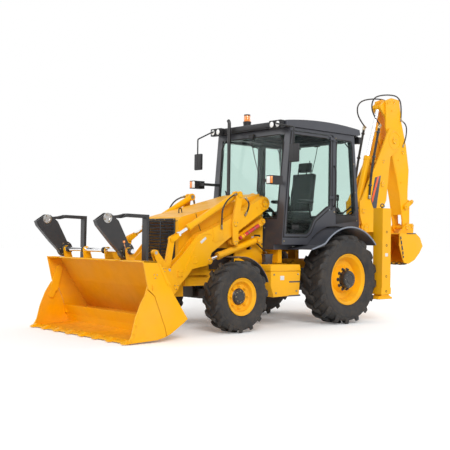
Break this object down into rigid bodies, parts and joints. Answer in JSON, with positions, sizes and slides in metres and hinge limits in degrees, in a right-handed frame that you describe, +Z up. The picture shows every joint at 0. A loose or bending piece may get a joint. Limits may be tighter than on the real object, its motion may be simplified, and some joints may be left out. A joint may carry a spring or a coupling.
{
  "type": "backhoe loader",
  "caption": "Side-shift backhoe loader with a clamshell front bucket, fold-over forks, glazed cab, sliding stabilisers and a rear digging arm",
  "frame": {"origin": "the middle of the bounding box at ground level, under the tyres", "axes": "+Z up, the front loader towards -Y, the machine's left side towards +X"},
  "size_m": [2.33, 7.115, 3.7859],
  "materials": {
    "yellow_paint": "gloss",
    "dark_paint": "satin",
    "black_steel": "satin",
    "rim_paint": "gloss",
    "tyre_rubber": "matte",
    "chrome_rod": "polished",
    "pin_steel": "brushed",
    "cab_glazing": "clear",
    "dark_plastic": "matte",
    "engine_iron": "rough"
  },
  "bodies": {
    "chassis": {"exhaust_stack": "dark_paint", "main_frame": "yellow_paint", "engine_block": "engine_iron", "axle_beams": "dark_paint", "cab_frame": "dark_paint", "cab_roof": "dark_paint", "cab_glass": "cab_glazing", "seat": "dark_plastic", "console": "dark_plastic", "rear_fenders": "dark_paint", "side_boxes": "yellow_paint", "rear_frame": "yellow_paint", "lamps_and_mirrors": "dark_plastic", "nose_cowl": "yellow_paint"},
    "knuckle_left": {"knuckle_left": "dark_paint"},
    "wheel_front_left": {"tyre_front_left": "tyre_rubber", "rim_front_left": "rim_paint"},
    "wheel_rear_left": {"tyre_rear_left": "tyre_rubber", "rim_rear_left": "rim_paint"},
    "door_left": {"door_left": "dark_paint"},
    "stabiliser_left": {"stabiliser_left": "yellow_paint"},
    "knuckle_right": {"knuckle_right": "dark_paint"},
    "wheel_front_right": {"tyre_front_right": "tyre_rubber", "rim_front_right": "rim_paint"},
    "wheel_rear_right": {"tyre_rear_right": "tyre_rubber", "rim_rear_right": "rim_paint"},
    "door_right": {"door_right": "dark_paint"},
    "stabiliser_right": {"stabiliser_right": "yellow_paint"},
    "hood": {"hood": "yellow_paint"},
    "loader_arms": {"loader_arms": "yellow_paint"},
    "bell_cranks": {"bell_cranks": "yellow_paint"},
    "level_links": {"level_links": "yellow_paint"},
    "bucket_pins": {"bucket_pins": "pin_steel"},
    "lever_pins": {"lever_pins": "pin_steel"},
    "link_pins": {"link_pins": "pin_steel"},
    "tilt_pins": {"tilt_pins": "pin_steel"},
    "tilt_levers": {"tilt_levers": "yellow_paint"},
    "bucket_links": {"bucket_links": "yellow_paint"},
    "tilt_barrels": {"tilt_barrels": "yellow_paint"},
    "tilt_rods": {"tilt_rods": "chrome_rod"},
    "lift_barrels": {"lift_barrels": "yellow_paint"},
    "lift_rods": {"lift_rods": "chrome_rod"},
    "bucket_jaw": {"bucket_jaw": "yellow_paint"},
    "fork_arms": {"fork_arms": "black_steel"},
    "fork_tines": {"fork_tines": "black_steel"},
    "side_shift_carriage": {"side_shift_carriage": "yellow_paint"},
    "kingpost": {"kingpost": "yellow_paint"},
    "boom": {"boom": "yellow_paint"},
    "dipper": {"dipper": "yellow_paint"},
    "digging_bucket": {"digging_bucket": "yellow_paint"},
    "tipping_levers": {"tipping_levers": "yellow_paint"},
    "tipping_link": {"tipping_link": "yellow_paint"},
    "boom_barrel": {"boom_barrel": "yellow_paint"},
    "boom_rod": {"boom_rod": "chrome_rod"},
    "dipper_barrel": {"dipper_barrel": "yellow_paint"},
    "dipper_rod": {"dipper_rod": "chrome_rod"},
    "crowd_barrel": {"crowd_barrel": "yellow_paint"},
    "crowd_rod": {"crowd_rod": "chrome_rod"},
    "loader_bucket": {"bucket_back": "yellow_paint"}
  },
  "joints": [
    {"name": "steering_left", "type": "hinge", "parent": "chassis", "child": "knuckle_left", "pos_m": [0.72, -1.5225, 0.4825], "axis": [0, 0, 1], "range_deg": [-35, 35]},
    {"name": "steering_right", "type": "hinge", "parent": "chassis", "child": "knuckle_right", "pos_m": [-0.72, -1.5225, 0.4825], "axis": [0, 0, 1], "range_deg": [-35, 35]},
    {"name": "wheel_front_left_roll", "type": "hinge", "parent": "knuckle_left", "child": "wheel_front_left", "pos_m": [0.9, -1.5225, 0.4825], "axis": [1, 0, 0], "continuous": true},
    {"name": "wheel_rear_left_roll", "type": "hinge", "parent": "chassis", "child": "wheel_rear_left", "pos_m": [0.9, 0.5775, 0.668], "axis": [1, 0, 0], "continuous": true},
    {"name": "wheel_front_right_roll", "type": "hinge", "parent": "knuckle_right", "child": "wheel_front_right", "pos_m": [-0.9, -1.5225, 0.4825], "axis": [1, 0, 0], "continuous": true},
    {"name": "wheel_rear_right_roll", "type": "hinge", "parent": "chassis", "child": "wheel_rear_right", "pos_m": [-0.9, 0.5775, 0.668], "axis": [1, 0, 0], "continuous": true},
    {"name": "hood_open", "type": "hinge", "parent": "chassis", "child": "hood", "pos_m": [0, -0.6175, 1.915], "axis": [1, 0, 0], "range_deg": [-50, 0]},
    {"name": "door_left_open", "type": "hinge", "parent": "chassis", "child": "door_left", "pos_m": [0.812, 0.5125, 2], "axis": [0, 0, 1], "range_deg": [0, 75]},
    {"name": "door_right_open", "type": "hinge", "parent": "chassis", "child": "door_right", "pos_m": [-0.812, 0.5125, 2], "axis": [0, 0, -1], "range_deg": [0, 75]},
    {"name": "loader_lift", "type": "hinge", "parent": "chassis", "child": "loader_arms", "pos_m": [0, -0.6855, 1.769], "axis": [-1, 0, 0], "range_deg": [0, 75]},
    {"name": "bell_crank_turn", "type": "hinge", "parent": "loader_arms", "child": "bell_cranks", "pos_m": [0, -1.2725, 1.465], "axis": [-1, 0, 0], "range_deg": [-75.5, 0]},
    {"name": "level_link_turn", "type": "hinge", "parent": "chassis", "child": "level_links", "pos_m": [0, -0.6755, 1.509], "axis": [-1, 0, 0], "range_deg": [0, 75.5]},
    {"name": "bucket_pin_turn", "type": "hinge", "parent": "loader_arms", "child": "bucket_pins", "pos_m": [0, -2.2965, 0.618], "axis": [-1, 0, 0], "range_deg": [-75.5, 0]},
    {"name": "lever_pin_turn", "type": "hinge", "parent": "loader_arms", "child": "lever_pins", "pos_m": [0, -2.3875, 0.835], "axis": [-1, 0, 0], "range_deg": [-75.5, 0]},
    {"name": "loader_bucket_tilt", "type": "hinge", "parent": "bucket_pins", "child": "loader_bucket", "pos_m": [0, -2.2965, 0.618], "axis": [1, 0, 0], "range_deg": [-20, 45]},
    {"name": "tilt_lever_turn", "type": "hinge", "parent": "lever_pins", "child": "tilt_levers", "pos_m": [0, -2.3875, 0.835], "axis": [1, 0, 0], "range_deg": [-20.5, 45.5]},
    {"name": "link_pin_turn", "type": "hinge", "parent": "tilt_levers", "child": "link_pins", "pos_m": [0, -2.5815, 1.061], "axis": [-1, 0, 0], "range_deg": [0, 75.5]},
    {"name": "bucket_link_turn", "type": "hinge", "parent": "link_pins", "child": "bucket_links", "pos_m": [0, -2.5815, 1.061], "axis": [1, 0, 0], "range_deg": [-45.5, 20.5]},
    {"name": "tilt_pin_turn", "type": "hinge", "parent": "bell_cranks", "child": "tilt_pins", "pos_m": [0, -1.1925, 1.87], "axis": [-1, 0, 0], "range_deg": [0, 75.5]},
    {"name": "tilt_barrel_turn", "type": "hinge", "parent": "tilt_pins", "child": "tilt_barrels", "pos_m": [0, -1.1925, 1.87], "axis": [1, 0, 0], "range_deg": [-5.9, 2.9]},
    {"name": "tilt_rod_slide", "type": "slide", "parent": "tilt_barrels", "child": "tilt_rods", "axis": [0, -0.8706, -0.4919], "range_m": [-0.118, 0.263]},
    {"name": "lift_barrel_turn", "type": "hinge", "parent": "chassis", "child": "lift_barrels", "pos_m": [0, -0.7725, 1.243], "axis": [-1, 0, 0], "range_deg": [0, 71.19]},
    {"name": "lift_rod_slide", "type": "slide", "parent": "lift_barrels", "child": "lift_rods", "axis": [0, -0.9545, -0.2983], "range_m": [0, 0.64427]},
    {"name": "bucket_jaw_open", "type": "hinge", "parent": "loader_bucket", "child": "bucket_jaw", "pos_m": [0, -3.0525, 0.8], "axis": [1, 0, 0], "range_deg": [-75, 0]},
    {"name": "fork_arms_swing", "type": "hinge", "parent": "loader_bucket", "child": "fork_arms", "pos_m": [0, -3.1025, 1.085], "axis": [1, 0, 0], "range_deg": [0, 110]},
    {"name": "fork_tines_swing", "type": "hinge", "parent": "fork_arms", "child": "fork_tines", "pos_m": [0, -3.3925, 1.49], "axis": [1, 0, 0], "range_deg": [0, 160.5]},
    {"name": "side_shift", "type": "slide", "parent": "chassis", "child": "side_shift_carriage", "axis": [1, 0, 0], "range_m": [-0.58, 0.58]},
    {"name": "backhoe_swing", "type": "hinge", "parent": "side_shift_carriage", "child": "kingpost", "pos_m": [0, 1.7875, 1.25], "axis": [0, 0, 1], "range_deg": [-90, 90]},
    {"name": "boom_lower", "type": "hinge", "parent": "kingpost", "child": "boom", "pos_m": [0, 2.0975, 1.46], "axis": [-1, 0, 0], "range_deg": [0, 80]},
    {"name": "boom_barrel_turn", "type": "hinge", "parent": "kingpost", "child": "boom_barrel", "pos_m": [0, 2.0975, 1.16], "axis": [-1, 0, 0], "range_deg": [0, 66.9]},
    {"name": "boom_rod_slide", "type": "slide", "parent": "boom_barrel", "child": "boom_rod", "axis": [0, 0.3849, 0.923], "range_m": [-0.298, 0]},
    {"name": "dipper_swing", "type": "hinge", "parent": "boom", "child": "dipper", "pos_m": [0, 2.8775, 3.03], "axis": [1, 0, 0], "range_deg": [0, 85]},
    {"name": "dipper_barrel_turn", "type": "hinge", "parent": "boom", "child": "dipper_barrel", "pos_m": [0, 2.0375, 1.76], "axis": [1, 0, 0], "range_deg": [0, 4.04]},
    {"name": "dipper_rod_slide", "type": "slide", "parent": "dipper_barrel", "child": "dipper_rod", "axis": [0, 0.2912, 0.9567], "range_m": [-0.8555, 0]},
    {"name": "digging_bucket_turn", "type": "hinge", "parent": "dipper", "child": "digging_bucket", "pos_m": [0, 3.2775, 1.5], "axis": [1, 0, 0], "range_deg": [-60, 40]},
    {"name": "tipping_lever_turn", "type": "hinge", "parent": "dipper", "child": "tipping_levers", "pos_m": [0, 3.2375, 1.86], "axis": [1, 0, 0], "range_deg": [-44.3, 29.7]},
    {"name": "tipping_link_turn", "type": "hinge", "parent": "tipping_levers", "child": "tipping_link", "pos_m": [0, 3.42992, 1.96666], "axis": [1, 0, 0], "range_deg": [-24.1, 35.9]},
    {"name": "crowd_barrel_turn", "type": "hinge", "parent": "dipper", "child": "crowd_barrel", "pos_m": [0, 3.1675, 2.85], "axis": [1, 0, 0], "range_deg": [-1.08, 1.38]},
    {"name": "crowd_rod_slide", "type": "slide", "parent": "crowd_barrel", "child": "crowd_rod", "axis": [0, 0.2848, -0.9586], "range_m": [-0.11097, 0.16546]},
    {"name": "stabiliser_left_down", "type": "slide", "parent": "chassis", "child": "stabiliser_left", "axis": [0, 0, -1], "range_m": [0, 0.45]},
    {"name": "stabiliser_right_down", "type": "slide", "parent": "chassis", "child": "stabiliser_right", "axis": [0, 0, -1], "range_m": [0, 0.45]}
  ],
  "couplings": [
    {"joint": "steering_right", "follows": "steering_left", "ratio": 1},
    {"joint": "bell_crank_turn", "follows": "loader_lift", "ratio": -1},
    {"joint": "level_link_turn", "follows": "loader_lift", "ratio": 1},
    {"joint": "bucket_pin_turn", "follows": "loader_lift", "ratio": -1},
    {"joint": "lever_pin_turn", "follows": "loader_lift", "ratio": -1},
    {"joint": "tilt_lever_turn", "follows": "loader_bucket_tilt", "ratio": 1},
    {"joint": "link_pin_turn", "follows": "loader_lift", "ratio": 1},
    {"joint": "bucket_link_turn", "follows": "loader_bucket_tilt", "ratio": -1},
    {"joint": "tilt_pin_turn", "follows": "loader_lift", "ratio": 1},
    {"joint": "tilt_barrel_turn", "follows": "loader_bucket_tilt", "ratio": -0.12},
    {"joint": "tilt_rod_slide", "follows": "loader_bucket_tilt", "m_per_rad": 0.33232},
    {"joint": "lift_barrel_turn", "follows": "loader_lift", "ratio": 0.9426},
    {"joint": "lift_rod_slide", "follows": "loader_lift", "m_per_rad": 0.49066},
    {"joint": "fork_tines_swing", "follows": "fork_arms_swing", "ratio": 1.4545},
    {"joint": "boom_barrel_turn", "follows": "boom_lower", "ratio": 0.83},
    {"joint": "boom_rod_slide", "follows": "boom_lower", "m_per_rad": -0.21199},
    {"joint": "dipper_barrel_turn", "follows": "dipper_swing", "ratio": 0.0416},
    {"joint": "dipper_rod_slide", "follows": "dipper_swing", "m_per_rad": -0.57532},
    {"joint": "tipping_lever_turn", "follows": "digging_bucket_turn", "ratio": 0.73},
    {"joint": "tipping_link_turn", "follows": "digging_bucket_turn", "ratio": -0.59},
    {"joint": "crowd_barrel_turn", "follows": "digging_bucket_turn", "ratio": -0.0146},
    {"joint": "crowd_rod_slide", "follows": "digging_bucket_turn", "m_per_rad": -0.15609}
  ]
}
